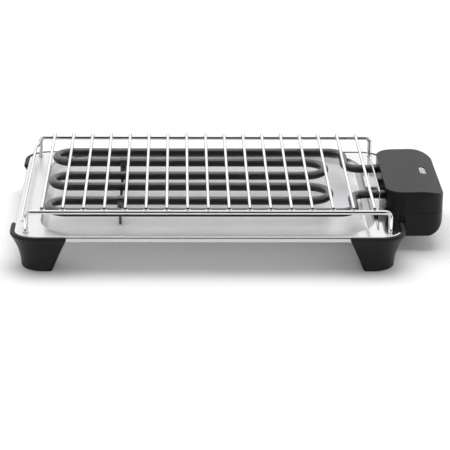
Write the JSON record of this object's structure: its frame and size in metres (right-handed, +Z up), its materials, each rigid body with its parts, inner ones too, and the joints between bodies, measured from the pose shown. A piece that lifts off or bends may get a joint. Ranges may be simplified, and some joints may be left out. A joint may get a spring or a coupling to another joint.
{
  "type": "electric table grill",
  "caption": "Open electric table grill: steel drip tray on moulded corner feet, lift-off wire rack and a lift-out tube heater fixed to a plastic connection box with a pilot lamp.",
  "frame": {"origin": "middle of the footprint of the whole grill, on the table under the feet", "axes": "+Z up, +X along the length towards the connection box, +Y towards the back, away from the side seen in the picture"},
  "size_m": [0.4254, 0.273, 0.0632],
  "materials": {
    "tray_steel": "bright rolled stainless steel, near mirror on the rim and satin in the basin",
    "foot_plastic": "fine moulded black",
    "rack_chrome": "bright chrome-plated wire",
    "heater_sheath": "dark annealed sheath, satin",
    "plated_steel": "zinc-plated",
    "support_wire": "plain steel wire",
    "shield_steel": "bright rolled stainless steel",
    "ceramic": "unglazed electrical ceramic",
    "box_plastic": "moulded black, fine grain on top and smoother on the sides",
    "lens": "clear ribbed lens",
    "lamp_glass": "clear",
    "lead_sleeve": "heat-proof sleeve",
    "brass": "turned",
    "gland_rubber": "moulded"
  },
  "bodies": {
    "tray": {"drip_tray": "tray_steel", "foot_front_left": "foot_plastic", "foot_front_right": "foot_plastic", "foot_back_left": "foot_plastic", "foot_back_right": "foot_plastic"},
    "heating_unit": {"heating_element": "heater_sheath", "cold_pin_back": "plated_steel", "cold_pin_front": "plated_steel", "end_seal_back": "ceramic", "end_seal_front": "ceramic", "element_support": "support_wire", "element_clips": "plated_steel", "heat_shield": "shield_steel", "box_upper_shell": "box_plastic", "box_lower_shell": "box_plastic", "box_screws": "plated_steel", "pilot_lens": "lens", "pilot_lamp": "lamp_glass", "lamp_leads": "lead_sleeve", "terminal_block": "ceramic", "terminal_screws": "brass", "heater_lead_back": "lead_sleeve", "heater_lead_front": "lead_sleeve", "cord_gland": "gland_rubber"},
    "rack": {"rack_front_frame": "rack_chrome", "rack_back_frame": "rack_chrome", "rack_side_wire": "rack_chrome", "rack_cross_wire_01": "rack_chrome", "rack_cross_wire_02": "rack_chrome", "rack_cross_wire_03": "rack_chrome", "rack_cross_wire_04": "rack_chrome", "rack_cross_wire_05": "rack_chrome", "rack_cross_wire_06": "rack_chrome", "rack_cross_wire_07": "rack_chrome", "rack_cross_wire_08": "rack_chrome", "rack_cross_wire_09": "rack_chrome", "rack_cross_wire_10": "rack_chrome", "rack_cross_wire_11": "rack_chrome", "rack_cross_wire_12": "rack_chrome", "rack_cross_wire_13": "rack_chrome", "rack_cross_wire_14": "rack_chrome", "rack_cross_wire_15": "rack_chrome", "rack_cross_wire_16": "rack_chrome", "rack_cross_wire_17": "rack_chrome"}
  },
  "joints": [
    {"name": "heating_unit_lift", "type": "slide", "parent": "tray", "child": "heating_unit", "axis": [0, 0, 1], "range_m": [0, 0.15]},
    {"name": "rack_lift", "type": "slide", "parent": "heating_unit", "child": "rack", "axis": [0, 0, 1], "range_m": [0, 0.15]}
  ]
}
